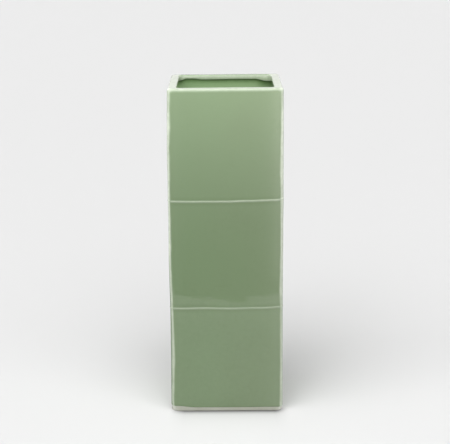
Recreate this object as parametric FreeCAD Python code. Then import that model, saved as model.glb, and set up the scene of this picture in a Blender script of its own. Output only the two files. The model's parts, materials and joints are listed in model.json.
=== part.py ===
"""Tall square stoneware vase, slab built and glazed.

Twelve square clay tiles stand three high on a floor slab, mitred at the corners, and a flat slab
with a square mouth closes the top. Slip fills every joint and stands proud of the glaze as a thin
raised line. Coils press into the inside corners. Glaze coats the inside, the rim and the outside
down to a bare foot. Millimetres, +Z up, origin at the middle of the underside, front towards -Y.
"""
import FreeCAD, Part
import math
import os

# Outside of the glaze: half widths at the foot, at the two seams and at the rim.
HEIGHT = 305.0
FOOT_HALF_WIDTH = 52.4
LOWER_SEAM_HALF_WIDTH = 52.1
UPPER_SEAM_HALF_WIDTH = 52.6
RIM_HALF_WIDTH = 52.0
CORNER_RADIUS = 4.0

# Clay.
CAVITY_HALF_WIDTH = 46.4
FLOOR_THICKNESS = 6.0
FOOT_EDGE_RADIUS = 1.2
RIM_THICKNESS = 3.7
MOUTH_HALF_WIDTH = 43.8
MOUTH_CORNER_RADIUS = 5.0
COIL_RADIUS = 6.0
FLOOR_COIL_RADIUS = 5.0

# Slip in the joints, and the line of it that stands proud outside.
SLIP = 0.5
BEAD_WIDTH = 1.4
BEAD_PROUD = 0.4

# Glaze.
GLAZE = 0.5
LINER = 0.4
BARE_FOOT = 4.2
RIM_OUTER_ROUND = 2.2
RIM_INNER_ROUND = 1.5
LIP_UNDER_ROUND = 0.9

# Heights that follow from the sizes above.
LOWER_SEAM = HEIGHT / 3
UPPER_SEAM = HEIGHT * 2 / 3
RIM_TOP = HEIGHT - GLAZE
RIM_BOTTOM = RIM_TOP - RIM_THICKNESS
WALL_TOP = RIM_BOTTOM - SLIP
WALL_BOTTOM = FLOOR_THICKNESS + SLIP

STATIONS = [
    (0.0, FOOT_HALF_WIDTH),
    (LOWER_SEAM, LOWER_SEAM_HALF_WIDTH),
    (UPPER_SEAM, UPPER_SEAM_HALF_WIDTH),
    (RIM_BOTTOM, RIM_HALF_WIDTH),
    (HEIGHT, RIM_HALF_WIDTH),
]
SIDES = {"front": 0, "right": 90, "back": 180, "left": 270}
STOREYS = {
    "lower": (WALL_BOTTOM, LOWER_SEAM - SLIP / 2),
    "middle": (LOWER_SEAM + SLIP / 2, UPPER_SEAM - SLIP / 2),
    "upper": (UPPER_SEAM + SLIP / 2, WALL_TOP),
}
GLAZE_FIELDS = [
    (BARE_FOOT, LOWER_SEAM - BEAD_WIDTH / 2),
    (LOWER_SEAM + BEAD_WIDTH / 2, UPPER_SEAM - BEAD_WIDTH / 2),
    (UPPER_SEAM + BEAD_WIDTH / 2, RIM_BOTTOM),
]
ABOVE_RIM = HEIGHT + 10.0
UP = FreeCAD.Vector(0, 0, 1)
ORIGIN = FreeCAD.Vector(0, 0, 0)


def half_width(z):
    """Half the vase's width outside the glaze at a height, straight between the stations."""
    for (low, low_half), (high, high_half) in zip(STATIONS, STATIONS[1:]):
        if z <= high:
            return low_half + (high_half - low_half) * (z - low) / (high - low)
    return RIM_HALF_WIDTH


def levels(low, high):
    """The heights from low to high where the wall's slope can change."""
    between = [z for z, _ in STATIONS if low < z < high]
    return [low, *between, high]


def closed_wire(points):
    return Part.makePolygon([*points, points[0]])


def polygon(points, z):
    return closed_wire([FreeCAD.Vector(x, y, z) for x, y in points])


def loft(section, low, high):
    """A solid from low to high with the outline that section gives at each height."""
    wires = [section(z) for z in levels(low, high)]
    return Part.makeLoft(wires, True, True)


def turned(shape, degrees):
    return shape.rotated(ORIGIN, UP, degrees)


def on_four_sides(shape):
    return [turned(shape, degrees) for degrees in SIDES.values()]


def rounded_square(half, radius, z):
    """A square outline with round corners, centred on the vase's axis."""
    flat = half - radius
    middle = flat + radius / math.sqrt(2)
    edges = []
    for degrees in SIDES.values():
        start = FreeCAD.Vector(-flat, -half, z)
        end = FreeCAD.Vector(flat, -half, z)
        on_arc = FreeCAD.Vector(middle, -middle, z)
        arc_end = FreeCAD.Vector(half, -flat, z)
        line = Part.LineSegment(start, end).toShape()
        arc = Part.Arc(end, on_arc, arc_end).toShape()
        edges += [turned(line, degrees), turned(arc, degrees)]
    return Part.Wire(edges)


def rounded_prism(half, radius, low, high):
    face = Part.Face(rounded_square(half, radius, low))
    return face.extrude(FreeCAD.Vector(0, 0, high - low))


def square_prism(half, low, high):
    corner = FreeCAD.Vector(-half, -half, low)
    return Part.makeBox(2 * half, 2 * half, high - low, corner)


def level_edges(shape, z, nearest, farthest):
    """The edges lying flat at z whose middle is between two distances from the axis planes."""
    found = []
    for edge in shape.Edges:
        box = edge.BoundBox
        reach = max(abs(box.XMin), abs(box.XMax), abs(box.YMin), abs(box.YMax))
        if abs(box.ZMin - z) < 1e-3 and abs(box.ZMax - z) < 1e-3 and nearest < reach < farthest:
            found.append(edge)
    return found


def clay_octagon(z):
    """The clay's outline: flat sides under the glaze, corners cut off where the slip lies."""
    flat = half_width(z) - CORNER_RADIUS + GLAZE
    face = half_width(z) - GLAZE
    corners = [(-flat, -face), (flat, -face), (face, -flat), (face, flat)]
    corners += [(flat, face), (-flat, face), (-face, flat), (-face, -flat)]
    return polygon(corners, z)


def tile_outline(z):
    """One front wall tile from above: mitred ends, with the outer corners cut off."""
    flat = half_width(z) - CORNER_RADIUS + GLAZE
    face = half_width(z) - GLAZE
    mitre = half_width(z) - CORNER_RADIUS / 2
    inner = CAVITY_HALF_WIDTH
    right = [(flat, -face), (mitre, -mitre), (inner, -inner)]
    left = [(-inner, -inner), (-mitre, -mitre), (-flat, -face)]
    return polygon(right + left, z)


def glaze_outline(z):
    """The front glaze field from above, ending at the corner slip."""
    half = half_width(z)
    flat = half - CORNER_RADIUS
    outer = [(-flat, -half), (flat, -half)]
    inner = [(flat + GLAZE, -half + GLAZE), (-flat - GLAZE, -half + GLAZE)]
    return polygon(outer + inner, z)


def corner_bead_outline(z):
    """The front right corner's slip from above: a round outside over a flat back."""
    half = half_width(z)
    flat = half - CORNER_RADIUS
    middle = flat + CORNER_RADIUS / math.sqrt(2)
    start = FreeCAD.Vector(flat, -half, z)
    end = FreeCAD.Vector(half, -flat, z)
    arc = Part.Arc(start, FreeCAD.Vector(middle, -middle, z), end).toShape()
    back = Part.LineSegment(end, start).toShape()
    return Part.Wire([arc, back])


def mitre_slip_outline(z):
    """The sheet of slip in the front right mitre from above."""
    side = SLIP / 2 / math.sqrt(2)
    inner = CAVITY_HALF_WIDTH
    outer = half_width(z) - CORNER_RADIUS / 2
    inside = [(inner - side, -inner - side), (inner + side, -inner + side)]
    outside = [(outer + side, -outer + side), (outer - side, -outer - side)]
    return polygon(inside + outside, z)


def corner_seam_slips():
    bead = loft(corner_bead_outline, BARE_FOOT, RIM_BOTTOM)
    sheet = loft(mitre_slip_outline, WALL_BOTTOM, WALL_TOP)
    return on_four_sides(bead.fuse(sheet).removeSplitter())


def level_seam_slips(seam, corner_slips):
    """The slip between two storeys, one strip a side, with its raised line outside."""
    low = seam - BEAD_WIDTH / 2
    high = seam + BEAD_WIDTH / 2
    flat = half_width(seam) - CORNER_RADIUS
    clay = [FreeCAD.Vector(-flat, -half_width(z) + GLAZE, z) for z in (low, seam, high)]
    bottom = FreeCAD.Vector(-flat, -half_width(low), low)
    crest = FreeCAD.Vector(-flat, -half_width(seam) - BEAD_PROUD, seam)
    top = FreeCAD.Vector(-flat, -half_width(high), high)
    back = Part.makePolygon([bottom, *clay, top])
    front = Part.Arc(top, crest, bottom).toShape()
    bead = Part.Face(Part.Wire([*back.Edges, front])).extrude(FreeCAD.Vector(2 * flat, 0, 0))
    sheet = loft(tile_outline, seam - SLIP / 2, seam + SLIP / 2)
    strips = []
    for strip in on_four_sides(bead.fuse(sheet)):
        strips.append(strip.cut(corner_slips).removeSplitter())
    return strips


def ring_slip(low, high):
    cavity = square_prism(CAVITY_HALF_WIDTH, low, high)
    return loft(clay_octagon, low, high).cut(cavity)


def wall_tile(storey, degrees, corner_slips):
    low, high = STOREYS[storey]
    return turned(loft(tile_outline, low, high), degrees).cut(corner_slips)


def outer_glaze(degrees):
    fields = [loft(glaze_outline, low, high) for low, high in GLAZE_FIELDS]
    return [turned(field, degrees) for field in fields]


def floor_slab():
    """The slab the walls stand on, with its bare foot rounded below and at the corners."""
    half = FOOT_HALF_WIDTH - GLAZE
    foot = rounded_prism(half, CORNER_RADIUS - GLAZE, 0, BARE_FOOT)
    foot = foot.makeFillet(FOOT_EDGE_RADIUS, level_edges(foot, 0, half / 2, half + 1))
    return foot.fuse(loft(clay_octagon, BARE_FOOT, FLOOR_THICKNESS)).removeSplitter()


def coil_body(inset, low, high):
    """The room inside the coils, rounded at the upright corners and around the floor."""
    half = CAVITY_HALF_WIDTH - inset
    body = rounded_prism(half, COIL_RADIUS - inset, low, high)
    return body.makeFillet(FLOOR_COIL_RADIUS - inset, level_edges(body, low, half / 2, half + 1))


def coils():
    """Clay pressed into the inside corners: a ring round the floor, and four upright coils."""
    split = FLOOR_THICKNESS + FLOOR_COIL_RADIUS
    filled = square_prism(CAVITY_HALF_WIDTH, FLOOR_THICKNESS, RIM_BOTTOM)
    filled = filled.cut(coil_body(0, FLOOR_THICKNESS, ABOVE_RIM))
    around_floor = filled.common(square_prism(HEIGHT, 0, split))
    upright = filled.common(square_prism(HEIGHT, split, RIM_BOTTOM))
    return around_floor, upright.Solids


def inner_glaze():
    outside = coil_body(0, FLOOR_THICKNESS, WALL_TOP)
    return outside.cut(coil_body(LINER, FLOOR_THICKNESS + LINER, ABOVE_RIM))


def rim_body(inset, low):
    """The slab round the mouth, inset from its glazed size, rounded along its upper edges."""
    half = RIM_HALF_WIDTH - inset
    mouth = MOUTH_HALF_WIDTH + inset
    top = HEIGHT - inset
    body = rounded_prism(half, CORNER_RADIUS - inset, RIM_BOTTOM, top)
    if low < RIM_BOTTOM:
        body = body.fuse(rounded_prism(CAVITY_HALF_WIDTH, COIL_RADIUS, low, RIM_BOTTOM))
    body = body.cut(rounded_prism(mouth, MOUTH_CORNER_RADIUS + inset, low - 1, ABOVE_RIM))
    between = (half + mouth) / 2
    body = body.makeFillet(RIM_OUTER_ROUND - inset, level_edges(body, top, between, half + 1))
    body = body.makeFillet(RIM_INNER_ROUND - inset, level_edges(body, top, 0, mouth + 0.1))
    return body.makeFillet(LIP_UNDER_ROUND - inset, level_edges(body, low, 0, mouth + 0.1))


def save(name, solids):
    shape = solids[0] if len(solids) == 1 else Part.makeCompound(solids)
    if not shape.isValid():
        raise ValueError(name + " is not a valid shape")
    shape.exportStep("parts/" + name + ".step")
    print("%-20s %2d solids %10.1f mm3" % (name, len(shape.Solids), shape.Volume))


def main():
    os.makedirs("parts", exist_ok=True)
    corner_slips = corner_seam_slips()
    save("floor_slab", [floor_slab()])
    for storey in STOREYS:
        for side, degrees in SIDES.items():
            save("%s_tile_%s" % (side, storey), [wall_tile(storey, degrees, corner_slips)])
    save("corner_seam_slip", corner_slips)
    save("lower_seam_slip", level_seam_slips(LOWER_SEAM, corner_slips))
    save("upper_seam_slip", level_seam_slips(UPPER_SEAM, corner_slips))
    save("foot_seam_slip", [ring_slip(FLOOR_THICKNESS, WALL_BOTTOM)])
    save("rim_seam_slip", [ring_slip(WALL_TOP, RIM_BOTTOM)])
    floor_coil, corner_coils = coils()
    save("floor_coil", [floor_coil])
    save("corner_coils", corner_coils)
    rim_frame = rim_body(GLAZE, RIM_BOTTOM)
    save("rim_frame", [rim_frame])
    save("rim_glaze", [rim_body(0, WALL_TOP).cut(rim_frame)])
    save("inner_glaze", [inner_glaze()])
    for side, degrees in SIDES.items():
        save(side + "_glaze", outer_glaze(degrees))


main()
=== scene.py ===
"""Looks for the tall square stoneware vase: hand-made wander in its glaze, seams, rim and foot.

The wall, its seams and the rim are one skin, a grid of rows (foot to lip) and columns (round the
vase), cut into the pieces that the CAD nodes stand for. Sizes are in millimetres until a mesh is
built, and heights are above the surface that the vase stands on. The materials, the floor, the
lights and the camera are in metres.
"""
import json
import math
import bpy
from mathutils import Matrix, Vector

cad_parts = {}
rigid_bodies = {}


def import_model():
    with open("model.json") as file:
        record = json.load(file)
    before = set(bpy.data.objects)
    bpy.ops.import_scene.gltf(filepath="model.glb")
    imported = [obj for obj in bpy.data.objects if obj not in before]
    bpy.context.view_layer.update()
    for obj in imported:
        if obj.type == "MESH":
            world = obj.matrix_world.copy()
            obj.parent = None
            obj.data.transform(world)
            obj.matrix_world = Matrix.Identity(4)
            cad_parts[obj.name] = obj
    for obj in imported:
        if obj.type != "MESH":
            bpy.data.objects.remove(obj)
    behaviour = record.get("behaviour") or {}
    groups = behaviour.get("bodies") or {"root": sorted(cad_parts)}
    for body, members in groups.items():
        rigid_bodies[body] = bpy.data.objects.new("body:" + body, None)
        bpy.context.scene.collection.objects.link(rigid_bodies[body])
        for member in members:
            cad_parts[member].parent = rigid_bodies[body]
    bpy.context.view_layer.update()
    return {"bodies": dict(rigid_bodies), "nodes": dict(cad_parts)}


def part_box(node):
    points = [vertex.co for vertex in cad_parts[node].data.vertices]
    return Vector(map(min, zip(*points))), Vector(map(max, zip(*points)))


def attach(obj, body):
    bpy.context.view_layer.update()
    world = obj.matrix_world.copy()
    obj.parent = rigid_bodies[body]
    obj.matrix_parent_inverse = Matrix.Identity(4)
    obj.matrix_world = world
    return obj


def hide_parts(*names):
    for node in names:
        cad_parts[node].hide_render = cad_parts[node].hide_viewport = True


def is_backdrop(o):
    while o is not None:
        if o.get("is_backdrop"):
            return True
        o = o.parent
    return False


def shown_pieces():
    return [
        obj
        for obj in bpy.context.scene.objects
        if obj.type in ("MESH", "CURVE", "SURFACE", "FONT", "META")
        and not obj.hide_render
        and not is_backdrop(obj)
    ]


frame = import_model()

from types import SimpleNamespace

import bpy
import numpy as np
from mathutils import Matrix, Vector

MM = 0.001
BODY = next(iter(frame["bodies"]))


def box_mm(node):
    low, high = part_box(node)
    return np.array(low) / MM, np.array(high) / MM


# -------------------------------- sizes, most from the frame

RIM_LOW, RIM_HIGH = box_mm("rim_glaze")
FIELD_LOW, FIELD_HIGH = box_mm("front_glaze")
_, SLAB_HIGH = box_mm("floor_slab")
INNER_LOW, INNER_HIGH = box_mm("inner_glaze")
SEAM_BOXES = [box_mm("lower_seam_slip"), box_mm("upper_seam_slip")]

# Sizes that the boxes don't give, the same as in the CAD.
GLAZE = 0.5
LINER = 0.4
SLIP = 0.5
BEAD_PROUD = 0.4
CORNER_RADIUS = 4.0
MOUTH_HALF_WIDTH = 43.8
MOUTH_CORNER_RADIUS = 5.0
COIL_RADIUS = 6.0
FLOOR_COIL_RADIUS = 5.0
FOOT_EDGE_RADIUS = 1.2

# Softer rounding, in the look alone.
RIM_CORNER_EXTRA = 1.8
FOOT_CORNER_EXTRA = 1.0
FOOT_CORNER_RADIUS = 6.8
OUTER_ROUND = 2.2
INNER_ROUND = 1.5
LIP_ROUND = 0.9

TOP = RIM_HIGH[2]
RIM_HALF_WIDTH = RIM_HIGH[0]
RIM_FROM = FIELD_HIGH[2]
GLAZE_FROM = FIELD_LOW[2]
FOOT_HALF_WIDTH = SLAB_HIGH[0] + GLAZE
SLAB_TOP = SLAB_HIGH[2]
CAVITY_HALF_WIDTH = INNER_HIGH[0]
SEAMS = [(low[2] + high[2]) / 2 for low, high in SEAM_BOXES]
SEAM_HALF_WIDTHS = [high[0] - BEAD_PROUD for low, high in SEAM_BOXES]
STATION_HEIGHTS = [0.0, *SEAMS, RIM_FROM, TOP]
STATION_HALF_WIDTHS = [FOOT_HALF_WIDTH, *SEAM_HALF_WIDTHS, RIM_HALF_WIDTH, RIM_HALF_WIDTH]


# -------------------------------- shaping functions

def smooth(value, start, end):
    """0 before start, 1 after end, smooth between them."""
    t = np.clip((np.asarray(value, dtype=float) - start) / (end - start), 0.0, 1.0)
    return t * t * (3.0 - 2.0 * t)


def bump(distance, width):
    return np.exp(-(np.asarray(distance, dtype=float) / width) ** 2)


def band(distance, strength, middle, reach):
    """A soft band of some strength round a middle distance."""
    return strength * bump(distance - middle, reach)


def wander(turns, seed, harmonics):
    """A smooth curve between about -1 and 1 that repeats each turn and differs with the seed."""
    phases = np.random.RandomState(seed).uniform(0, 2 * math.pi, harmonics)
    total = 0.0
    for k, phase in enumerate(phases, start=1):
        total = total + np.sin(2 * math.pi * k * turns + phase) / k ** 0.8
    return total / 1.8


def through(places, value):
    """A smooth curve through a few (place, height) points."""
    value = np.asarray(value, dtype=float)
    result = np.full(value.shape, float(places[0][1]))
    for (low, start), (high, end) in zip(places, places[1:]):
        result = result + (end - start) * smooth(value, low, high)
    return result


# -------------------------------- outlines round the vase

AHEAD = np.array([1, 2, 3, 0])
BEHIND = np.array([3, 0, 1, 2])

# Distances of the columns from an arris. The corner's slip ends at SEAM_EDGE of these.
NEAR_ARRIS = np.array([0, 0.2, 0.4, 0.6, 0.8, 1.0, 1.2, 1.5, 1.8, 2.2, 2.6, 3.1, 3.7, 4.5, 5.5, 7, 9, 12])
SEAM_EDGE = 11
BETWEEN = 34
FAR_FROM_ARRIS = 50.0

# A column this near an arris follows its corner's line all the way, and one this far not at all.
FOLLOW = (2.0, 12.0)


def make_columns():
    """Each column as the corner it is counted from, its distance, and its share of the middle."""
    made = []
    for corner in range(4):
        made += [(corner, distance, 0.0) for distance in NEAR_ARRIS]
        made += [(corner, NEAR_ARRIS[-1], step / BETWEEN) for step in range(1, BETWEEN)]
        made += [(AHEAD[corner], -distance, 0.0) for distance in NEAR_ARRIS[:0:-1]]
    return [np.array(values) for values in zip(*made)]


COLUMN_CORNER, COLUMN_DISTANCE, COLUMN_SHARE = make_columns()
COUNT = len(COLUMN_CORNER)
PER_SIDE = COUNT // 4
ARRIS_DISTANCE = np.where(COLUMN_SHARE > 0, FAR_FROM_ARRIS, np.abs(COLUMN_DISTANCE))
PAST_MIDDLE = COLUMN_SHARE > 0.5
BEFORE_CORNER = PAST_MIDDLE | (COLUMN_DISTANCE < 0)
NEAREST_CORNER = np.where(PAST_MIDDLE, (COLUMN_CORNER + 1) % 4, COLUMN_CORNER)
SHARE_TO_ARRIS = np.where(PAST_MIDDLE, 1 - COLUMN_SHARE, COLUMN_SHARE)
ALONG_TO_ARRIS = np.abs(COLUMN_DISTANCE) + SHARE_TO_ARRIS * (2 * RIM_HALF_WIDTH - 2 * NEAR_ARRIS[-1])
ROUND = np.arange(COUNT) / COUNT


def outline(halves, radius, shifts=(0, 0, 0, 0)):
    """Points, normals and way across for all columns on a square with round corners.

    halves are the front, right, back and left half widths. shifts move the columns near each
    arris along the outline, so that they follow a corner seam that wanders.
    """
    halves = np.array(halves, dtype=float)
    quarter = radius * math.pi / 4
    flat = halves[BEHIND] + halves[AHEAD] - 2 * radius
    length = flat + 2 * quarter
    middle = length[COLUMN_CORNER] - 2 * NEAR_ARRIS[-1]
    follow = np.where(COLUMN_SHARE > 0, 0.0, 1 - smooth(np.abs(COLUMN_DISTANCE), *FOLLOW))
    along = COLUMN_DISTANCE + COLUMN_SHARE * middle + np.array(shifts)[COLUMN_CORNER] * follow
    side = np.where(along < 0, BEHIND[COLUMN_CORNER], COLUMN_CORNER)
    along = np.where(along < 0, along + length[side], along)
    turn = np.minimum(along - quarter, 0) / radius + np.maximum(along - quarter - flat[side], 0) / radius
    x = radius - halves[BEHIND[side]] + np.clip(along - quarter, 0, flat[side]) + radius * np.sin(turn)
    y = -halves[side] + radius * (1 - np.cos(turn))
    across = np.clip((along - quarter) / flat[side], 0, 1) * 2 - 1
    return turned(x, y, side), turned(np.sin(turn), -np.cos(turn), side), across


def turned(x, y, side):
    """Points given facing the front, turned to face the side they are on."""
    c, s = np.cos(side * math.pi / 2), np.sin(side * math.pi / 2)
    return np.stack([x * c - y * s, x * s + y * c], axis=-1)


# -------------------------------- the rows of the outer skin

FIELD_STEP = 2.6
RIM_STEP = 0.8
HALF_SEAM = [0.0, 0.2, 0.35, 0.5, 0.7, 0.95, 1.25, 1.6, 2.0, 2.6]
SEAM_ROWS = [-distance for distance in HALF_SEAM[:0:-1]] + HALF_SEAM
SLIP_ROWS = 0.95

# The rounded lower edge of the glaze, as (distance in, height), and where the straight wall begins.
GLAZE_EDGE = [(0.5, 0.0), (0.42, 0.03), (0.3, 0.12), (0.16, 0.3), (0.06, 0.6)]
GLAZE_EDGE_HEIGHT = 1.1


def evenly(start, end, step):
    count = max(2, round((end - start) / step))
    return list(np.linspace(start, end, count + 1)[1:-1])


def arc(radius, step):
    """Rise and run along a quarter circle, leaving out its start."""
    angles = np.radians(np.arange(step, 91, step))
    return [(radius * math.sin(angle), radius * (1 - math.cos(angle))) for angle in angles]


def wall_heights():
    heights = []
    low = GLAZE_FROM + GLAZE_EDGE_HEIGHT
    for seam in SEAMS:
        lines = [seam + row for row in SEAM_ROWS]
        heights += [low, *evenly(low, lines[0], FIELD_STEP), *lines[:-1]]
        low = lines[-1]
    return heights + [low, *evenly(low, RIM_FROM, FIELD_STEP), RIM_FROM]


def skin_rows():
    """Rows as (distance in from the outside, height, part), from the foot round to the lip."""
    inside = RIM_HALF_WIDTH - MOUTH_HALF_WIDTH
    straight = TOP - OUTER_ROUND
    lip_low = RIM_LOW[2] + LIP_ROUND
    rows = [(inward, GLAZE_FROM + up, "wall") for inward, up in GLAZE_EDGE]
    rows += [(0.0, z, "wall") for z in wall_heights()]
    rows += [(0.0, z, "rim") for z in (*evenly(RIM_FROM, straight, RIM_STEP), straight)]
    rows += [(run, straight + rise, "rim") for rise, run in arc(OUTER_ROUND, 10)]
    rows += [(inward, TOP, "top") for inward in np.linspace(OUTER_ROUND, inside - INNER_ROUND, 8)[1:]]
    rows += [(inside - INNER_ROUND + rise, TOP - run, "lip") for rise, run in arc(INNER_ROUND, 15)]
    rows += [(inside, z, "lip") for z in np.linspace(TOP - INNER_ROUND, lip_low, 7)[1:]]
    rows += [(inside - run, lip_low - rise, "lip") for rise, run in arc(LIP_ROUND, 15)]
    to_wall = RIM_HALF_WIDTH - CAVITY_HALF_WIDTH
    rows += [(inward, RIM_LOW[2], "under") for inward in np.linspace(inside - LIP_ROUND, to_wall, 5)[1:]]
    return rows


ROWS = skin_rows()

# How each corner's raised line wanders up the vase: (height, distance along from the arris).
CORNER_LINES = [
    [(0, 0.5), (15, 0.6), (32, 1.1), (60, 1.4), (85, 1.1), (108, 0.6), (130, 0.0), (165, -0.7),
     (290, -0.5)],
    [(0, 0.0), (40, -0.3), (90, -0.2), (130, -0.5), (180, -0.3), (230, -0.5), (290, -0.1)],
    [(0, -0.4), (20, -0.9), (55, -0.2), (100, 0.6), (150, 0.2), (205, -0.6), (290, 0.0)],
    [(0, 0.3), (35, 0.6), (80, -0.5), (120, -1.0), (165, -0.1), (215, 0.7), (290, 0.2)],
]

# How each level seam's raised line wanders round the vase: (sides gone round, height above joint).
LEVEL_LINES = [
    [(0, 0.0), (0.1, -0.45), (0.22, -0.6), (0.36, -0.35), (0.52, -0.85), (0.7, -0.35), (0.82, 0.4),
     (1.0, 0.7), (1.45, -0.4), (2.1, 0.3), (2.6, -0.5), (3.3, 0.2), (4, 0.0)],
    [(0, -0.6), (0.15, -0.9), (0.3, -1.3), (0.5, -1.3), (0.63, -0.85), (0.78, -0.15), (0.9, 0.4),
     (1.0, 0.7), (1.4, 0.2), (1.9, 0.7), (2.5, -0.3), (3.1, 0.3), (3.6, -0.4), (4, -0.6)],
]

# How the lip's lower edge lifts or hangs round each corner of the mouth: (distance past it, height).
LIP_LINES = [
    [(-20, -0.6), (0, -0.9), (14, 0.0)],
    [(-18, 0.0), (0, -1.0), (16, -0.6)],
    [(-10, -0.6), (0, -1.8), (3, -1.8), (15, 0.3)],
    [(-24, 0.2), (-13, 1.2), (-6, 1.2), (-1, -0.4), (4, -0.9), (20, -0.6)],
]

# How near a seam the glaze rides up and down with its line all the way, and how far not at all.
LEVEL_LINE_REACH = (3.0, 30.0)
LEVEL_LINE_JITTER = 0.1

# How much higher the glaze stops at each corner of the foot than between them, how near the
# corners that holds, and how unevenly and how far up it moves the glaze.
FOOT_RISES = [1.6, 0.1, 0.8, 0.5]
FOOT_RISE_REACH = (3.0, 22.0)
FOOT_DROP = 0.25
FOOT_UNEVEN = 0.25
FOOT_FADE = 12

# How far the rim sags below its full height: in the middle, and how much more to the left and back.
RIM_SAG = 0.34
SAG_ACROSS = 0.18
SAG_BACK = 0.18
SAG_BACK_REACH = (10.0, 44.0)
SAG_UNEVEN = 0.05
SAG_MOST = 0.8
SAG_FADE = 30
LIP_JITTER = 0.1

# How deep each side's panels are dished, and how the right and left walls bow, as
# (middle height, reach, how far out).
DISH = (0.34, 0.20, 0.20, 0.20)
RIGHT_BOWS = [(195, 70, -0.25)]
LEFT_BOWS = [(250, 28, 0.4), (145, 25, 0.35), (60, 45, -0.24)]
SLOW_UNEVEN = 0.025
SLOW_HEIGHT = 90.0

# How much of its full height each level line has, how much that varies, and how wide it is.
BEAD_SHARE = 0.9
BEAD_EVEN = 0.85
BEAD_VARIES = 0.2
BEAD_LEAST = 0.5
BEAD_REACH = 0.62

# How far the corners' lines stand out, how wide they are, how far below the rim they and their
# wander fade, how much tighter the corner is where the rim's edge is rounded, and how far up the
# softer corner of the foot fades.
CORNER_BEAD = 0.2
CORNER_BEAD_REACH = 0.8
CORNER_FADE = 14
CORNER_TIGHTER = 0.8
FOOT_CORNER_FADE = 8


def wall_half_width(z):
    """Half the width of the wall over its glaze, at a height."""
    return float(np.interp(z, STATION_HEIGHTS, STATION_HALF_WIDTHS))


def bowed(z, bows):
    return sum(out * float(bump(z - middle, reach)) for middle, reach, out in bows)


def half_widths(z, inward):
    """Half widths of the front, right, back and left sides at a height."""
    half = wall_half_width(z) - inward
    return [half, half + bowed(z, RIGHT_BOWS), half, half + bowed(z, LEFT_BOWS)]


def below_rim(z):
    """1 down the wall, fading out just below the rim, where the corners' lines end."""
    return 1 - smooth(z, RIM_FROM - CORNER_FADE, RIM_FROM)


def lay_out():
    """The whole grid before any wander: places, normals and what each point belongs to."""
    g = SimpleNamespace(xy=[], normal=[], across=[])
    mouth_from = RIM_HALF_WIDTH - MOUTH_HALF_WIDTH - INNER_ROUND
    for inward, z, part in ROWS:
        inner = float(smooth(inward, OUTER_ROUND, mouth_from))
        radius = CORNER_RADIUS - CORNER_TIGHTER * min(inward, OUTER_ROUND)
        radius += RIM_CORNER_EXTRA * float(smooth(z, RIM_FROM, TOP))
        radius += FOOT_CORNER_EXTRA * float(1 - smooth(z, GLAZE_FROM, GLAZE_FROM + FOOT_CORNER_FADE))
        radius += (MOUTH_CORNER_RADIUS - radius) * inner
        shifts = [float(through(line, z)) * float(below_rim(z)) for line in CORNER_LINES]
        xy, normal, across = outline(half_widths(z, inward), radius, shifts)
        g.xy.append(xy)
        g.normal.append(normal)
        g.across.append(across)
    g.xy, g.normal, g.across = (np.array(values) for values in (g.xy, g.normal, g.across))
    g.z = np.array([z for _, z, _ in ROWS])[:, None]
    g.inward = np.array([inward for inward, _, _ in ROWS])[:, None]
    g.part = np.array([part for _, _, part in ROWS])[:, None]
    g.round = ROUND[None, :]
    g.arris = ARRIS_DISTANCE[None, :]
    g.wall = (g.part == "wall").astype(float)
    return g


def near_corners(values, full, reach):
    """Each corner's value, held up to one distance from it and faded out by another."""
    fade = 1 - smooth(ALONG_TO_ARRIS, full, reach)
    return (np.array(values, dtype=float)[NEAREST_CORNER] * fade)[None, :]


def wall_rise(g):
    """How far the wall's rows ride up or down with the level seams and the glaze's lower edge."""
    foot = FOOT_UNEVEN * wander(g.round, 51, 14) - FOOT_DROP + near_corners(FOOT_RISES, *FOOT_RISE_REACH)
    rise = foot * (1 - smooth(g.z, GLAZE_FROM, GLAZE_FROM + FOOT_FADE))
    for k, seam in enumerate(SEAMS):
        line = through(LEVEL_LINES[k], g.round * 4) + LEVEL_LINE_JITTER * wander(g.round, 11 + k, 40)
        rise = rise + line * (1 - smooth(np.abs(g.z - seam), *LEVEL_LINE_REACH))
    return rise * g.wall


def rim_rise(g):
    """The rim slab is a little lower at its left and back, and its lip's lower edge is uneven."""
    sag = RIM_SAG - SAG_ACROSS * g.xy[..., 0] / RIM_HALF_WIDTH + SAG_UNEVEN * wander(g.round, 71, 5)
    sag = sag + SAG_BACK * smooth(g.xy[..., 1], *SAG_BACK_REACH)
    rise = -np.clip(sag, 0.0, SAG_MOST) * smooth(g.z, RIM_FROM - SAG_FADE, RIM_FROM)
    hang = np.where((g.part == "lip") | (g.part == "under"), 1.0, 0.0)
    hang = hang * smooth(TOP - INNER_ROUND - g.z, 0.0, TOP - INNER_ROUND - RIM_LOW[2])
    to_wall, to_mouth = RIM_HALF_WIDTH - CAVITY_HALF_WIDTH, RIM_HALF_WIDTH - MOUTH_HALF_WIDTH
    hang = hang * smooth(g.inward, to_wall, to_mouth - 1.0)
    past = np.where(BEFORE_CORNER, -ALONG_TO_ARRIS, ALONG_TO_ARRIS)
    edge = np.select([NEAREST_CORNER == corner for corner in range(4)],
                     [through(line, past) for line in LIP_LINES])
    return rise + (edge[None, :] - LIP_JITTER * wander(g.round, 83, 9)) * hang


def panel_place(g):
    """How far up its own panel each height is, from -1 at its lower seam to 1 at its upper."""
    edges = np.array([0.0, *SEAMS, TOP])
    index = np.clip(np.searchsorted(edges, g.z, side="right") - 1, 0, len(edges) - 2)
    return (2 * g.z - edges[index] - edges[index + 1]) / (edges[index + 1] - edges[index])


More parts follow.
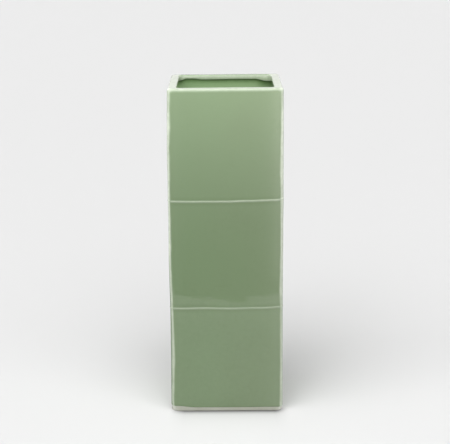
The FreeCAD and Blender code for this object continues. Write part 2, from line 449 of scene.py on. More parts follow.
def outward(g):
    """How far the skin stands out: raised seams, sunk panels and a slow unevenness."""
    out = -np.array(DISH)[COLUMN_CORNER] * (1 - g.across ** 2) * (1 - panel_place(g) ** 2)
    out = out + SLOW_UNEVEN * wander(g.round * 3 + g.z / SLOW_HEIGHT, 41, 6)
    out = out + CORNER_BEAD * bump(g.arris, CORNER_BEAD_REACH) * below_rim(g.z)
    uneven = np.clip(BEAD_EVEN + BEAD_VARIES * wander(g.round * 4, 21, 8), BEAD_LEAST, 1.0)
    for seam in SEAMS:
        out = out + BEAD_PROUD * BEAD_SHARE * uneven * bump(g.z - seam, BEAD_REACH)
    return out * g.wall


# Thinness goes from 0 (thick and green) to 1 (worn through to the pale slip). These are the lines
# down the corners, low down and high up, the heights between which they get paler, and those
# between which they lose a little again below the rim.
CORNER_THIN_LOW = np.array([0.46, 0.48, 0.50, 0.48])
CORNER_THIN_HIGH = np.array([0.72, 0.69, 0.66, 0.68])
CORNER_THIN_VARIES = 0.06
CORNER_PALER = (90, 180)
CORNER_LESS_AT_RIM = 0.24
CORNER_LESS = (278, 294)

# The width of those lines, how it varies, how wide they are on the side after each corner, and
# where in that width they start to fade and are gone.
LINE_WIDTH = 1.05
LINE_WIDTH_VARIES = 0.2
LINE_VARIES_OVER = 110.0
LINES_APART = 0.37
WIDER_AFTER = np.array([1.1, 2.0, 1.0, 1.0])
LINE_EDGE = (0.45, 2.2)

# Near a corner, how much its line widens between two heights, which starts below its usual width.
WIDER_HIGH_UP = [0.35, 0, 0, 0]
WIDER_NEAR = (5, 9)
WIDER_BETWEEN = (110, 200)
WIDER_FROM = 0.55

# The lines across the sides.
LEVEL_THIN = (0.22, 0.25)
LEVEL_THIN_VARIES = 0.12
LEVEL_THIN_REACH = 0.85

# The broad paler parts of each side: on the side before and after each corner, and high up.
THIN_BEFORE = np.array([0.05, 0.08, 0.03, 0.06])
THIN_AFTER = np.array([0.02, 0.05, 0.07, 0.03])
BESIDE_FROM = 5
BESIDE_REACH = 7
BESIDE_LOW_DOWN = 0.45
BESIDE_PALER = (112, 150)
THIN_HIGH_UP = 0.04
HIGH_UP = (130, 270)

# The rim, its flat top and its lip: how far across their left and right parts begin, how far back
# their back part does, and how thin or thick the glaze is on each. Part of that paleness is painted:
# a highlight on the rim's edge and ends, light on the top's sides and back corners and on the lip's
# sides, and a highlight line along the lip.
ASIDE = (39.5, 45.0)
TO_BACK = (36.0, 44.0)
THIN_RIM_AND_HIGHLIGHT = 0.34
RIM_ENDS_THIN_AND_HIGHLIGHT = 0.34
RIM_ENDS = (46.0, 51.0)
RIM_PALER = (TOP - 4.6, TOP - 0.2)
THIN_TOP = 0.58
TOP_SIDES_PAINTED_LIGHT = 0.07
TOP_BACK_CORNERS_PAINTED_LIGHT = 0.15
THICK_TOP_BACK = 0.5
THIN_LIP = 0.31
THICK_LIP_EDGE = 0.14
LIP_EDGE = (TOP - 1.3, TOP - 0.2)
LIP_HIGHLIGHT_BAND = (0.28, -1.9, 0.7)
LIP_SIDES_PAINTED_LIGHT = 0.62
THICK_LIP_BACK = 0.34
THIN_UNDER_LIP = 0.1

# How deep the colour is where the glaze has gathered, some as (strength, distance, reach).
POOL_BESIDE_CORNER = (0.08, 4.6, 1.6)
# Beside the level lines the deeper colour is gathered glaze and painted shade of the raised line.
POOL_AND_SHADE_BESIDE_SEAM = (0.35, 2.0, 0.9)
POOL_AT_FOOT = (0.25, 1.5, 1.6)
POOL_LOW_DOWN = 0.26
LOW_DOWN = (72, 106)
POOL_LIP = 0.8
POOL_UNDER_LIP = 0.6


def corner_thinness(g):
    """Thin glaze on the line down each corner, paler high up, with an uneven width."""
    place = g.z / LINE_VARIES_OVER + NEAREST_CORNER[None, :] * LINES_APART
    width = LINE_WIDTH + LINE_WIDTH_VARIES * wander(place, 61, 9)
    wider = smooth(g.z, *WIDER_BETWEEN) - WIDER_FROM
    width = width * (1 + near_corners(WIDER_HIGH_UP, *WIDER_NEAR) * wider)
    width = width * np.where(BEFORE_CORNER, 1.0, WIDER_AFTER[NEAREST_CORNER])
    low, high = CORNER_THIN_LOW[NEAREST_CORNER], CORNER_THIN_HIGH[NEAREST_CORNER]
    crest = low + (high - low) * smooth(g.z, *CORNER_PALER) + CORNER_THIN_VARIES * wander(place, 63, 9)
    crest = crest - CORNER_LESS_AT_RIM * smooth(g.z, *CORNER_LESS)
    full, gone = LINE_EDGE
    return crest * (1 - smooth(g.arris, full * width, gone * width))


def side_thinness(g):
    """The slow change across and up each side: thinner towards the corners and high up."""
    beside = np.where(BEFORE_CORNER, THIN_BEFORE[NEAREST_CORNER], THIN_AFTER[NEAREST_CORNER])
    beside = beside * np.exp(-np.maximum(ALONG_TO_ARRIS - BESIDE_FROM, 0) / BESIDE_REACH)
    paler = BESIDE_LOW_DOWN + (1 - BESIDE_LOW_DOWN) * smooth(g.z, *BESIDE_PALER)
    return beside[None, :] * paler + THIN_HIGH_UP * smooth(g.z, *HIGH_UP)


def thinness(g):
    """Where the glaze has run thin: high up, and over raised lines, corners and the rim's edges, with
    painted highlights on the rim's edge and lip and painted light on the rim's top and lip sides.
    """
    thin = corner_thinness(g)
    for seam, strength, seed in zip(SEAMS, LEVEL_THIN, (31, 32)):
        strength = strength * (1 + LEVEL_THIN_VARIES * wander(g.round * 2, seed, 16))
        thin = np.maximum(thin, bump(g.z - seam, LEVEL_THIN_REACH) * strength)
    thin = thin + side_thinness(g) * (1 - thin)
    across = np.abs(g.xy[..., 0])
    aside, back = smooth(across, *ASIDE), smooth(g.xy[..., 1], *TO_BACK)
    # The rim's pale edge is thin glaze and a painted highlight, paler still at its left and right ends.
    rim = (THIN_RIM_AND_HIGHLIGHT + RIM_ENDS_THIN_AND_HIGHLIGHT * smooth(across, *RIM_ENDS)) * smooth(g.z, *RIM_PALER)
    # Painted light makes the top paler at its sides and back corners.
    top = THIN_TOP + (TOP_SIDES_PAINTED_LIGHT + TOP_BACK_CORNERS_PAINTED_LIGHT * back) * aside
    top = top - THICK_TOP_BACK * back * (1 - aside)
    # The lip's band is a painted highlight line below its upper edge.
    lip = THIN_LIP - THICK_LIP_EDGE * smooth(g.z, *LIP_EDGE) + band(g.z - TOP, *LIP_HIGHLIGHT_BAND)
    # Painted light makes the lip paler at its sides.
    lip = lip + (LIP_SIDES_PAINTED_LIGHT - THICK_LIP_BACK * back - lip) * aside
    thin = np.where(g.part == "rim", np.maximum(thin, rim), thin)
    thin = np.where(g.part == "top", top, thin)
    thin = np.where(g.part == "lip", lip, thin)
    return np.where(g.part == "under", THIN_UNDER_LIP, thin)


def pooling(g):
    """Where the glaze has gathered beside the raised lines, with painted shade beside the level lines, at
    its lower edge, and under the lip.
    """
    pool = band(g.arris, *POOL_BESIDE_CORNER) + POOL_LOW_DOWN * (1 - smooth(g.z, *LOW_DOWN))
    # Gathered glaze and painted shade beside each level line.
    for seam in SEAMS:
        pool = np.maximum(pool, band(np.abs(g.z - seam), *POOL_AND_SHADE_BESIDE_SEAM))
    pool = np.maximum(pool, band(g.z - GLAZE_FROM, *POOL_AT_FOOT)) * g.wall
    pool = np.where(g.part == "lip", POOL_LIP, pool)
    return np.where(g.part == "under", POOL_UNDER_LIP, pool)


def grid_normals(points):
    """Outward normals of a grid whose columns close into a ring."""
    around = np.roll(points, -1, axis=1) - np.roll(points, 1, axis=1)
    normal = np.cross(around, np.gradient(points, axis=0))
    return normal / np.linalg.norm(normal, axis=2, keepdims=True)


def build_skin():
    g = lay_out()
    xy = g.xy + g.normal * outward(g)[..., None]
    height = g.z + wall_rise(g) + rim_rise(g)
    points = np.concatenate([xy, height[..., None]], axis=2)
    return SimpleNamespace(points=points, normals=grid_normals(points), thin=thinness(g), pool=pooling(g))


# -------------------------------- turning grids into pieces

SHEET_THIN = 0.6


class Mesh:
    """Gathers closed skins and prisms, with their normals and glaze values, into one piece."""

    def __init__(self):
        self.points, self.values = [], []
        self.faces, self.normals = [], []

    def add_points(self, points, thin, pool):
        start = len(self.points)
        self.points += [tuple(point) for point in np.reshape(points, (-1, 3))]
        count = len(self.points) - start
        self.values += list(zip(np.broadcast_to(thin, count), np.broadcast_to(pool, count)))
        return start

    def add_face(self, corners, normals=None):
        self.faces.append(corners)
        self.normals.append(normals)

    def skin(self, points, normals, thin, pool, thickness, ring=False, cap=False):
        """A grid of points with a second one behind it, closed round its edges.

        A ring's columns close. A cap closes the small hole in a ring's last row.
        """
        rows, count = points.shape[:2]
        front = self.add_points(points, thin.ravel(), pool.ravel())
        back = self.add_points(points - normals * thickness, thin.ravel(), pool.ravel())
        facing = [tuple(normal) for normal in normals.reshape(-1, 3)]
        away = [tuple(normal) for normal in -normals.reshape(-1, 3)]
        steps = count if ring else count - 1
        for r in range(rows - 1):
            for c in range(steps):
                a, b = r * count + c, r * count + (c + 1) % count
                outer, inner = (a, b, b + count, a + count), (a, a + count, b + count, b)
                self.add_face([front + i for i in outer], [facing[i] for i in outer])
                self.add_face([back + i for i in inner], [away[i] for i in inner])
        top = (rows - 1) * count
        for c in range(steps):
            n = (c + 1) % count
            self.add_face([front + n, front + c, back + c, back + n])
            if not cap:
                self.add_face([front + top + c, front + top + n, back + top + n, back + top + c])
        if cap:
            self.add_face([front + top + c for c in range(count)])
            self.add_face([back + top + c for c in reversed(range(count))])
        for r in range(0 if ring else rows - 1):
            a, b = r * count, (r + 1) * count
            self.add_face([front + a, front + b, back + b, back + a])
            a, b = a + count - 1, b + count - 1
            self.add_face([front + b, front + a, back + a, back + b])

    def solid(self, points, thin):
        """A closed solid from rings of points stacked from its middle below to its middle on top."""
        rows, count = points.shape[:2]
        start = self.add_points(points, np.tile(thin, rows), 0.0)
        for r in range(rows - 1):
            for c in range(count):
                a, b = start + r * count + c, start + r * count + (c + 1) % count
                self.add_face([a, b, b + count, a + count])
        last = start + (rows - 1) * count
        self.add_face([start + c for c in reversed(range(count))])
        self.add_face([last + c for c in range(count)])

    def ring(self, points):
        """A closed ring from rows of points that go round its cross section."""
        rows, count = points.shape[:2]
        start = self.add_points(points, 0.0, 0.0)
        for r in range(rows):
            for c in range(count):
                a, b = r * count + c, r * count + (c + 1) % count
                above_a, above_b = ((i + count) % (rows * count) for i in (a, b))
                self.add_face([start + i for i in (a, b, above_b, above_a)])

    def prism(self, low, high):
        """A closed solid between two outlines that run the same way round."""
        count = len(low)
        start = self.add_points(low, SHEET_THIN, 0.0)
        self.add_points(high, SHEET_THIN, 0.0)
        self.add_face([start + i for i in reversed(range(count))])
        self.add_face([start + count + i for i in range(count)])
        for i in range(count):
            n = (i + 1) % count
            self.add_face([start + i, start + n, start + count + n, start + count + i])

    def build(self, name, material):
        """Makes the object, which rides on the vase and stands for the CAD node of its name."""
        mesh = bpy.data.meshes.new(name)
        mesh.from_pydata((np.array(self.points) * MM).tolist(), [], self.faces)
        for column, attribute in enumerate(("glaze_thin_and_light", "glaze_pool_and_shade")):
            layer = mesh.attributes.new(attribute, "FLOAT", "POINT")
            layer.data.foreach_set("value", np.array(self.values, dtype=np.float32)[:, column].copy())
        mesh.materials.append(material)
        mesh.polygons.foreach_set("use_smooth", [True] * len(mesh.polygons))
        mesh.update()
        loops = []
        for polygon, given in zip(mesh.polygons, self.normals):
            loops += given or [tuple(polygon.normal)] * polygon.loop_total
        mesh.normals_split_custom_set(loops)
        piece = bpy.data.objects.new(name, mesh)
        bpy.context.scene.collection.objects.link(piece)
        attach(piece, BODY)
        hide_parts(name)
        return piece


def row_at(height):
    """The first wall row that is no lower than a height."""
    return next(i for i, (_, z, _) in enumerate(ROWS) if z > height - 1e-6)


def add_part(mesh, skin, first, last, columns):
    """Adds the part of the outer skin between two rows, in the given columns."""
    cut = [grid[first:last + 1][:, columns] for grid in (skin.points, skin.normals, skin.thin, skin.pool)]
    mesh.skin(*cut, GLAZE, ring=len(columns) == COUNT)


def field_columns(side):
    return [(side * PER_SIDE + i) % COUNT for i in range(SEAM_EDGE, PER_SIDE - SEAM_EDGE + 1)]


def corner_columns(corner):
    return [(corner * PER_SIDE + i) % COUNT for i in range(-SEAM_EDGE, SEAM_EDGE + 1)]


SEAM_SPANS = [(row_at(seam - SLIP_ROWS), row_at(seam + SLIP_ROWS)) for seam in SEAMS]
RIM_ROW = row_at(RIM_FROM)
SIDES = ("front", "right", "back", "left")


def build_fields(skin, material):
    """Each side's glaze: three square fields between the seams."""
    starts = [0, *[high for _, high in SEAM_SPANS]]
    ends = [*[low for low, _ in SEAM_SPANS], RIM_ROW]
    for index, side in enumerate(SIDES):
        mesh = Mesh()
        for first, last in zip(starts, ends):
            add_part(mesh, skin, first, last, field_columns(index))
        mesh.build(side + "_glaze", material)


def on_side(points, side):
    """Points (x, y, z) given for the front, turned to another side."""
    x, y, z = np.array(points, dtype=float).T
    return np.column_stack([turned(x, y, np.full(len(x), side)), z])


def level_sheet(z):
    """The outline of the slip between two front tiles at a height, short of the corner slip."""
    inner = CAVITY_HALF_WIDTH
    outer = wall_half_width(z) - GLAZE - max(DISH)
    return [(-inner + SLIP, -inner, z), (-outer + SLIP, -outer, z),
            (outer - SLIP, -outer, z), (inner - SLIP, -inner, z)]


def mitre_sheet(z):
    """The outline of the slip in the front right mitre at a height."""
    inner = CAVITY_HALF_WIDTH
    outer = wall_half_width(z) - CORNER_RADIUS / 2
    side = SLIP / 2 / math.sqrt(2)
    return [(inner - side, -inner - side, z), (outer - side, -outer - side, z),
            (outer + side, -outer + side, z), (inner + side, -inner + side, z)][::-1]


def build_level_seams(skin, material):
    """The raised lines across the sides, with the slip that fills the joints behind them."""
    for name, seam, (first, last) in zip(("lower_seam_slip", "upper_seam_slip"), SEAMS, SEAM_SPANS):
        mesh = Mesh()
        for side in range(4):
            add_part(mesh, skin, first, last, field_columns(side))
            low, high = (level_sheet(seam + half * SLIP / 2)[::-1] for half in (-1, 1))
            mesh.prism(on_side(low, side), on_side(high, side))
        mesh.build(name, material)


def build_corner_seams(skin, material):
    """The raised lines down the corners, with the slip that fills the mitres behind them."""
    mesh = Mesh()
    for corner in range(4):
        add_part(mesh, skin, 0, RIM_ROW, corner_columns(corner))
        low, high = mitre_sheet(SLAB_TOP + SLIP), mitre_sheet(RIM_FROM - SLIP)
        mesh.prism(on_side(low, corner), on_side(high, corner))
    mesh.build("corner_seam_slip", material)


def build_rim(skin, glaze, clay):
    """The coat over the rim and its lip, and the slab that fills it."""
    coat = Mesh()
    add_part(coat, skin, RIM_ROW, len(ROWS) - 1, list(range(COUNT)))
    coat.build("rim_glaze", glaze)
    slab = Mesh()
    slab.ring(skin.points[RIM_ROW:] - skin.normals[RIM_ROW:] * GLAZE)
    slab.build("rim_frame", clay)


CUP_CORNER = COIL_RADIUS - LINER
CUP_FILLET = FLOOR_COIL_RADIUS - LINER
CUP_FLOOR = INNER_LOW[2] + LINER
CUP_HALF_WIDTH = CAVITY_HALF_WIDTH - LINER

# How far the cup's wall is uneven and stands in over the level joints.
CUP_UNEVEN = 0.14
CUP_JOINT_BEAD = 0.22
CUP_JOINT_REACH = 2.0

# Its thinness over the joints and below the lip, and its pooling round the floor, as
# (strength, height, reach). The floor's edge pools more in the corners.
CUP_THIN_BANDS = [(0.12, SEAMS[0], 3), (0.12, SEAMS[1], 3), (0.08, 291, 4)]
CUP_FLOOR_POOL = (0.25, CUP_FLOOR, 6)
CUP_CORNER_POOL = (1.0, CUP_FLOOR, 4)
CUP_CORNER_REACH = 12

# The gathered glaze and painted shadow under the lip: how deep, in which corners more, how near to
# them, and from where to where it fades in going up, which moves down where there is more.
LIP_POOL_AND_SHADE = 0.66
LIP_SHADE_CORNERS = [0, 0, 1.6, 0]
LIP_SHADE_NEAR = (4, 24)
LIP_SHADE_ARRIS = 6
LIP_SHADE_HEIGHTS = (297.5, 299.5)
LIP_SHADE_DROPS = (4.5, 1.0)


def cup_rows():
    """Rows of the inside as (distance in from the wall, height, scale), from the top to the middle."""
    fillet_top = CUP_FLOOR + CUP_FILLET
    rows = [(0.0, z, 1.0) for z in np.linspace(INNER_HIGH[2], fillet_top, 60)]
    rows += [(run, fillet_top - rise, 1.0) for rise, run in arc(CUP_FILLET, 9)]
    return rows + [(CUP_FILLET, CUP_FLOOR, scale) for scale in np.linspace(1.0, 0.02, 18)[1:]]


def cup_thinness(z):
    """Where the glaze inside is thin: over the level joints and a little below the lip."""
    return sum(band(z, *thin) for thin in CUP_THIN_BANDS)


def cup_pooling_and_shade(z):
    """Where the glaze inside has gathered round the floor, and the gathered glaze and painted shadow
    under the lip and its corners.
    """
    in_corners = bump(ARRIS_DISTANCE, CUP_CORNER_REACH)[None, :]
    round_floor = np.maximum(band(z, *CUP_CORNER_POOL) * in_corners, band(z, *CUP_FLOOR_POOL))
    at_arris = bump(ARRIS_DISTANCE, LIP_SHADE_ARRIS)[None, :]
    more = np.maximum(at_arris, near_corners(LIP_SHADE_CORNERS, *LIP_SHADE_NEAR))
    start, full = (height - drop * more for height, drop in zip(LIP_SHADE_HEIGHTS, LIP_SHADE_DROPS))
    # Painted shadow of the lip on the wall below it, together with the glaze gathered there.
    under_lip_shade = smooth(z, start, full) * np.minimum(LIP_POOL_AND_SHADE + (1 - LIP_POOL_AND_SHADE) * more, 1)
    return np.maximum(round_floor, under_lip_shade)


def build_inside(material):
    """The glaze inside: a cup with soft corners, uneven where the tiles were smoothed by hand."""
    rows = cup_rows()
    xy, normal = [], []
    for inward, z, scale in rows:
        half = CUP_HALF_WIDTH - inward
        radius = max(CUP_CORNER - inward, 1.0)
        points, facing, _ = outline([half] * 4, radius)
        xy.append(points * scale)
        normal.append(facing)
    xy, normal = np.array(xy), np.array(normal)
    z = np.array([z for _, z, _ in rows])[:, None] * np.ones((1, COUNT))
    on_wall = smooth(z, CUP_FLOOR + CUP_FILLET, CUP_FLOOR + 20) * (1 - smooth(z, 280, 297))
    uneven = CUP_UNEVEN * wander(ROUND[None, :] * 2 + z / 160, 91, 7) * on_wall
    for seam in SEAMS:
        uneven = uneven + CUP_JOINT_BEAD * bump(z - seam, CUP_JOINT_REACH) * on_wall
    xy = xy - normal * uneven[..., None]
    points = np.concatenate([xy, z[..., None]], axis=2)
    mesh = Mesh()
    mesh.skin(points, grid_normals(points), cup_thinness(z), cup_pooling_and_shade(z), LINER, ring=True, cap=True)
    return mesh.build("inner_glaze", material)


# How deep the bare foot is worn, as (depth, height, reach), and how near a corner it is paler.
FOOT_WEAR = (0.12, 1.0, 1.6)
FOOT_PALE_REACH = 3.2


def foot_rows():
    """Rows of the floor slab as (distance in, height, scale), from the middle below to the top."""
    rows = [(FOOT_EDGE_RADIUS, 0.0, scale) for scale in np.linspace(0.02, 1.0, 14)]
    rows += [(FOOT_EDGE_RADIUS - rise, run, 1.0) for rise, run in arc(FOOT_EDGE_RADIUS, 9)]
    rows += [(0.0, z, 1.0) for z in np.linspace(FOOT_EDGE_RADIUS, SLAB_TOP, 6)[1:]]
    return rows + [(0.0, SLAB_TOP, scale) for scale in np.linspace(0.98, 0.02, 6)]


def build_foot(material):
    """The floor slab, whose bare clay shows below the glaze and underneath."""
    rows = foot_rows()
    xy, z = [], []
    for inward, height, scale in rows:
        worn = float(band(height, *FOOT_WEAR)) if scale == 1.0 else 0.0
        wear = worn * (0.5 + 0.5 * wander(ROUND, 101, 24))
        points, facing, _ = outline([SLAB_HIGH[0] - inward] * 4, FOOT_CORNER_RADIUS - inward)
        xy.append((points - facing * wear[:, None]) * scale)
        z.append(np.full(COUNT, height))
    points = np.concatenate([np.array(xy), np.array(z)[..., None]], axis=2)
    mesh = Mesh()
    mesh.solid(points, bump(ARRIS_DISTANCE, FOOT_PALE_REACH))
    return mesh.build("floor_slab", material)


# -------------------------------- materials

# The glaze where it is even, and where it has gathered deep, outside, inside and on the lip. Inside,
# the deep colour also makes the painted shadow under the lip.
GREEN = (0.175, 0.240, 0.138)
DEEP = (0.125, 0.182, 0.093)
INSIDE_GREEN = (0.160, 0.250, 0.118)
INSIDE_DEEP_AND_SHADE = (0.058, 0.124, 0.030)
LIP_GREEN = (0.165, 0.265, 0.118)

# The slip under thin glaze, the iron specks, and the drift from greener left to greyer right.
PALE = (0.700, 0.740, 0.630)
IRON = (0.120, 0.110, 0.060)
TINT_LEFT = (0.985, 1.004, 0.972)
TINT_RIGHT = (1.030, 0.998, 1.006)

# The bare clay, its darker clouds and paler corners, and its dark grains.
CLAY = (0.410, 0.420, 0.360)
CLAY_DARK = (0.320, 0.320, 0.260)
CLAY_PALE = (0.540, 0.550, 0.485)
GROG = (0.200, 0.150, 0.100)

# Sizes of the patterns, as repeats in a metre.
CLOUDS = 18.0
MOTTLES = 260.0
SPECKS = 1500.0
PEEL = 130.0
RIPPLES = 34.0
CLAY_CLOUDS = 45.0
GRIT = 1100.0
GROG_GRAINS = 700.0

# How deep the bumps in each surface are.
GLAZE_BUMPS = 0.00003
CLAY_BUMPS = 0.00012


def new_tree(name):
    material = bpy.data.materials.new(name)
    material.use_nodes = True
    material.node_tree.nodes.clear()
    return material, material.node_tree


def node(tree, kind, inputs=None, **settings):
    """Adds a node. Inputs are values, or sockets of other nodes to link to."""
    made = tree.nodes.new("ShaderNode" + kind)
    for key, value in settings.items():
        setattr(made, key, value)
    for key, value in (inputs or {}).items():
        if isinstance(value, bpy.types.NodeSocket):
            tree.links.new(value, made.inputs[key])
        else:
            made.inputs[key].default_value = value
    return made


def maths(tree, operation, a, b=0.0, c=0.0, clamp=False):
    return node(tree, "Math", {0: a, 1: b, 2: c}, operation=operation, use_clamp=clamp).outputs[0]


def noise(tree, place, scale, detail=2.0, rough=0.5):
    inputs = {"Vector": place, "Scale": scale, "Detail": detail, "Roughness": rough}
    return node(tree, "TexNoise", inputs).outputs["Fac"]


def ranged(tree, value, low, high, to_low, to_high):
    inputs = {"Value": value, "From Min": low, "From Max": high, "To Min": to_low, "To Max": to_high}
    return node(tree, "MapRange", inputs).outputs["Result"]


def either_way(tree, pattern, amount):
    """A noise made into a swing from -amount to amount."""
    return ranged(tree, pattern, 0.3, 0.7, -amount, amount)


def mixed(tree, factor, a, b):
    """Colour a where the factor is 0 and b where it is 1."""
    made = node(tree, "Mix", data_type="RGBA")
    for socket, value in zip((made.inputs["Factor"], made.inputs[6], made.inputs[7]), (factor, a, b)):
        if isinstance(value, bpy.types.NodeSocket):
            tree.links.new(value, socket)
        elif isinstance(value, tuple):
            socket.default_value = (*value, 1.0)
        else:
            socket.default_value = value
    return made.outputs[2]


def finish_material(material, tree, inputs, bump_height, depth):
    normal = node(tree, "Bump", {"Height": bump_height, "Distance": depth, "Strength": 1.0}).outputs[0]
    surface = node(tree, "BsdfPrincipled", {**inputs, "Normal": normal}).outputs[0]
    node(tree, "OutputMaterial", {"Surface": surface})
    return material


def glaze_material(name, green=GREEN, deep=DEEP):
    """Celadon: clear green where it is thick, pale where it has run thin over an edge, with the painted
    highlights and painted shade that its thin and pool values carry.
    """
    material, tree = new_tree(name)
    place = node(tree, "TexCoord").outputs["Object"]
    thin = node(tree, "Attribute", attribute_name="glaze_thin_and_light").outputs["Fac"]
    pool = node(tree, "Attribute", attribute_name="glaze_pool_and_shade").outputs["Fac"]
    cloud = noise(tree, place, CLOUDS, 3.0)
    mottle = noise(tree, place, MOTTLES, 3.0, 0.6)
    speck = noise(tree, place, SPECKS, 1.0)
    depth = maths(tree, "ADD", pool, either_way(tree, cloud, 0.12))
    depth = maths(tree, "ADD", depth, either_way(tree, mottle, 0.09), clamp=True)
    across = node(tree, "SeparateXYZ", {0: place}).outputs["X"]
    left_to_right = ranged(tree, across, -0.05, 0.05, -0.1, 1.1)
    drift = maths(tree, "ADD", left_to_right, either_way(tree, cloud, 0.3), clamp=True)
    tint = mixed(tree, drift, TINT_LEFT, TINT_RIGHT)
    body = mixed(tree, depth, green, deep)
    body = node(tree, "VectorMath", {0: body, 1: tint}, operation="MULTIPLY").outputs[0]
    edge = maths(tree, "MULTIPLY", either_way(tree, mottle, 0.14), thin)
    edge = maths(tree, "ADD", thin, edge, clamp=True)
    colour = mixed(tree, edge, body, PALE)
    colour = mixed(tree, ranged(tree, speck, 0.76, 0.82, 0.0, 0.18), colour, IRON)
    ripple = maths(tree, "MULTIPLY", noise(tree, place, RIPPLES, 1.0), 2.4)
    height = maths(tree, "ADD", noise(tree, place, PEEL, 2.0), ripple)
    roughness = ranged(tree, mottle, 0.3, 0.7, 0.02, 0.04)
    inputs = {"Base Color": colour, "Roughness": roughness, "IOR": 1.5}
    return finish_material(material, tree, inputs, height, GLAZE_BUMPS)


def clay_material(name):
    """Bare fired stoneware: matt and gritty, and paler where a piece is marked as thin."""
    material, tree = new_tree(name)
    place = node(tree, "TexCoord").outputs["Object"]
    cloud = noise(tree, place, CLAY_CLOUDS, 4.0, 0.6)
    grit = noise(tree, place, GRIT, 3.0, 0.7)
    grog = node(tree, "TexVoronoi", {"Vector": place, "Scale": GROG_GRAINS}).outputs["Distance"]
    colour = mixed(tree, ranged(tree, cloud, 0.35, 0.7, 0.0, 0.7), CLAY, CLAY_DARK)
    middles = ranged(tree, grog, 0.0, 0.22, 0.7, 0.0)
    speck = maths(tree, "MULTIPLY", middles, ranged(tree, grit, 0.45, 0.7, 0.0, 1.0))
    colour = mixed(tree, speck, colour, GROG)
    thin = node(tree, "Attribute", attribute_name="glaze_thin_and_light").outputs["Fac"]
    colour = mixed(tree, thin, colour, CLAY_PALE)
    inputs = {"Base Color": colour, "Roughness": 0.85, "IOR": 1.45}
    return finish_material(material, tree, inputs, grit, CLAY_BUMPS)


# -------------------------------- floor, camera and light

# How bright the studio looks, and how brightly it lights the room.
BACKGROUND = 0.836
AMBIENT = 0.08

FLOOR_HALF_WIDTH = 60.0
FLOOR_ALBEDO = 0.634

# The painted contact shadow along the front of the foot: (strength, reach, power) of each part, then
# from where to where it sets in towards the front, and dies out past the left and right of the foot.
CONTACT_SHADES = ((0.62, 0.0052, 2.0), (0.27, 0.016, 1.0))
SHADE_FRONT = (-0.042, -0.052)
SHADE_ENDS = ((-0.040, -0.054), (0.046, 0.059))

# How far the table reaches in front of the vase, how far the dark beyond it goes, and how high and
# how dark that is. The vase's glaze reflects the edge.
TABLE_FRONT = 0.364
DARK_REACH = 30.0
DARK_HEIGHT = 0.001
DARK_ALBEDO = 0.02

LENS = 105.07
CAMERA_PLACE = (-0.0009, -1.2099, 0.4655)
CAMERA_DOWN = 13.709
CAMERA_ROLL = -0.33
CAMERA_REACH = 200.0


def flat_rectangle(name, low, high, z, material):
    """A piece of the stage that lies level between two corners."""
    mesh = bpy.data.meshes.new(name)
    points = [(low[0], low[1], z), (high[0], low[1], z), (high[0], high[1], z), (low[0], high[1], z)]
    mesh.from_pydata(points, [], [(0, 1, 2, 3)])
    mesh.materials.append(material)
    made = bpy.data.objects.new(name, mesh)
    bpy.context.scene.collection.objects.link(made)
    made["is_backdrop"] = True
    return made


def floor_material():
    """Matt white, darker in front of the foot, where the vase keeps the light from behind out."""
    material, tree = new_tree("floor")
    place = node(tree, "TexCoord").outputs["Object"]
    half = (FOOT_HALF_WIDTH - FOOT_EDGE_RADIUS - FOOT_CORNER_RADIUS) * MM
    beyond = node(tree, "VectorMath", {0: place}, operation="ABSOLUTE").outputs[0]
    beyond = node(tree, "VectorMath", {0: beyond, 1: (half, half, 0)}, operation="SUBTRACT").outputs[0]
    beyond = node(tree, "VectorMath", {0: beyond, 1: (0, 0, 0)}, operation="MAXIMUM").outputs[0]
    distance = node(tree, "VectorMath", {0: beyond}, operation="LENGTH").outputs["Value"]
    distance = maths(tree, "MAXIMUM", maths(tree, "SUBTRACT", distance, FOOT_CORNER_RADIUS * MM), 0.0)
    apart = node(tree, "SeparateXYZ", {0: place}).outputs
    ahead = ranged(tree, apart["Y"], *SHADE_FRONT, 0.0, 1.0)
    for near, far in SHADE_ENDS:
        ahead = maths(tree, "MULTIPLY", ahead, ranged(tree, apart["X"], near, far, 1.0, 0.0))
    shade = FLOOR_ALBEDO
    # Painted contact shadow: the floor's colour darkens near the front of the foot.
    for strength, reach, power in CONTACT_SHADES:
        fall = maths(tree, "POWER", maths(tree, "DIVIDE", distance, reach), power)
        fall = maths(tree, "EXPONENT", maths(tree, "MULTIPLY", fall, -1.0))
        dark = maths(tree, "MULTIPLY", fall, ahead)
        shade = maths(tree, "MULTIPLY", shade, maths(tree, "MULTIPLY_ADD", dark, -strength, 1.0))
    colour = node(tree, "CombineColor", {0: shade, 1: shade, 2: shade}).outputs[0]
    node(tree, "OutputMaterial", {"Surface": node(tree, "BsdfDiffuse", {"Color": colour}).outputs[0]})
    return material


def make_floor():
    half = FLOOR_HALF_WIDTH
    return flat_rectangle("floor", (-half, -half), (half, half), 0.0, floor_material())


def make_dark_surround():
    """The dark room in front of the table, beyond its edge. Only reflections see it."""
    material, tree = new_tree("dark_surround")
    colour = (DARK_ALBEDO, DARK_ALBEDO, DARK_ALBEDO, 1)
    node(tree, "OutputMaterial", {"Surface": node(tree, "BsdfDiffuse", {"Color": colour}).outputs[0]})
    far_left, near_right = (-DARK_REACH, -DARK_REACH), (DARK_REACH, -TABLE_FRONT - FOOT_HALF_WIDTH * MM)
    card = flat_rectangle("dark_surround", far_left, near_right, DARK_HEIGHT, material)
    card.visible_camera = False
    card.visible_diffuse = False
    card.visible_shadow = False
    card.visible_transmission = False


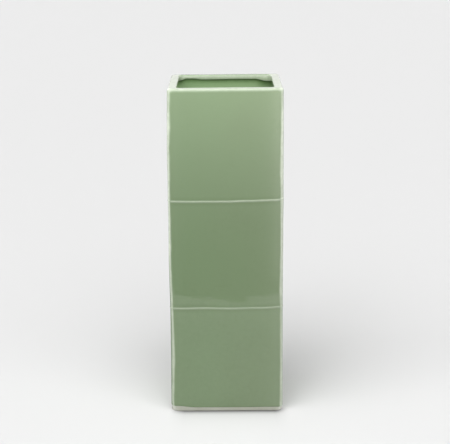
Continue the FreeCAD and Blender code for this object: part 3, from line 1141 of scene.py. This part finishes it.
def make_world():
    """A pale studio that is seen and reflected at full strength, but lights the room only weakly."""
    world = bpy.data.worlds.new("studio")
    world.use_nodes = True
    tree = world.node_tree
    tree.nodes.clear()
    is_lighting = node(tree, "LightPath").outputs["Is Diffuse Ray"]
    strength = ranged(tree, is_lighting, 0.0, 1.0, BACKGROUND, AMBIENT)
    background = node(tree, "Background", {"Color": (1, 1, 1, 1), "Strength": strength})
    node(tree, "OutputWorld", {"Surface": background.outputs[0]})
    bpy.context.scene.world = world


def add_light(name, kind, place, target, energy, **settings):
    light = bpy.data.lights.new(name, kind)
    light.energy = energy
    for key, value in settings.items():
        setattr(light, key, value)
    made = bpy.data.objects.new(name, light)
    made.location = place
    made.rotation_euler = (Vector(target) - Vector(place)).to_track_quat("-Z", "Y").to_euler()
    bpy.context.scene.collection.objects.link(made)
    return made


def add_sun(name, azimuth, elevation, strength, angle, only=None):
    """A broad distant light, in degrees. Azimuth 0 is straight in front and 90 to the right."""
    a, e = math.radians(azimuth), math.radians(elevation)
    place = (math.sin(a) * math.cos(e), -math.cos(a) * math.cos(e), math.sin(e))
    sun = add_light(name, "SUN", place, (0, 0, 0), strength * math.pi, angle=math.radians(angle))
    if only:
        sun.light_linking.receiver_collection = only


def add_panel(name, place, target, energy, only, **settings):
    """A soft light near the vase that isn't seen itself."""
    panel = add_light(name, "AREA", place, target, energy, **settings)
    panel.light_linking.receiver_collection = only
    panel.visible_camera = False
    panel.visible_glossy = False


def make_lights(vase, inside, foot, floor):
    """A soft studio: three lights on everything, and others that each light one thing alone."""
    add_sun("front", azimuth=10, elevation=41, strength=0.57, angle=75)
    add_sun("left", azimuth=-45, elevation=36, strength=0.28, angle=45)
    add_sun("overhead", azimuth=-30, elevation=80, strength=0.405, angle=50)
    for name, azimuth, strength in (("front", -2, 0.42), ("left", -58, 0.13), ("right", 50, 0.06)):
        add_sun(name + "_on_floor", azimuth, 31, strength, 50, only=floor)
    add_sun("fill_back_left", azimuth=215, elevation=30, strength=0.35, angle=60, only=vase)
    add_sun("fill_back_right", azimuth=125, elevation=30, strength=0.30, angle=60, only=vase)
    add_panel("top_panel", place=(0, -0.2, 0.36), target=(0, 1, 0.36), energy=0.160, only=vase,
              shape="RECTANGLE", size=0.3, size_y=0.05, spread=math.radians(120))
    add_sun("into_mouth", azimuth=39, elevation=50, strength=0.64, angle=34, only=inside)
    add_sun("foot_right", azimuth=85, elevation=20, strength=0.35, angle=50, only=foot)
    add_panel("floor_front", place=(-0.04, -0.35, 0.9), target=(0, -0.25, 0), energy=0.78, only=floor,
              shape="DISK", size=0.5)


def make_camera():
    data = bpy.data.cameras.new("camera")
    data.sensor_width = 36.0
    data.lens = LENS
    data.clip_end = CAMERA_REACH
    camera = bpy.data.objects.new("camera", data)
    tilt = Matrix.Rotation(math.radians(90 - CAMERA_DOWN), 4, "X")
    roll = Matrix.Rotation(math.radians(CAMERA_ROLL), 4, "Z")
    camera.matrix_world = Matrix.Translation(CAMERA_PLACE) @ tilt @ roll
    bpy.context.scene.collection.objects.link(camera)
    bpy.context.scene.camera = camera


def collection_of(name, members):
    """A collection of objects, for the lights that shine on them alone."""
    made = bpy.data.collections.new(name)
    for member in members:
        made.objects.link(member)
    bpy.context.scene.collection.children.link(made)
    return made


def dress_clay(material):
    """Gives each CAD node that is still shown a fired finish."""
    for piece in frame["nodes"].values():
        if not piece.hide_render:
            piece.data.materials.clear()
            piece.data.materials.append(material)


def main():
    glaze = glaze_material("celadon")
    rim_glaze = glaze_material("celadon_rim", deep=LIP_GREEN)
    clay = clay_material("bare_stoneware")
    skin = build_skin()
    build_fields(skin, glaze)
    build_level_seams(skin, glaze)
    build_corner_seams(skin, glaze)
    build_rim(skin, rim_glaze, clay)
    inside = build_inside(glaze_material("celadon_inside", INSIDE_GREEN, INSIDE_DEEP_AND_SHADE))
    foot = build_foot(clay)
    dress_clay(clay)
    bpy.context.scene.view_settings.view_transform = "Standard"
    floor = make_floor()
    make_dark_surround()
    make_world()
    lit = {"vase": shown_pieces(), "inside": [inside], "foot": [foot], "ground": [floor]}
    make_lights(*[collection_of(name, members) for name, members in lit.items()])
    make_camera()


main()
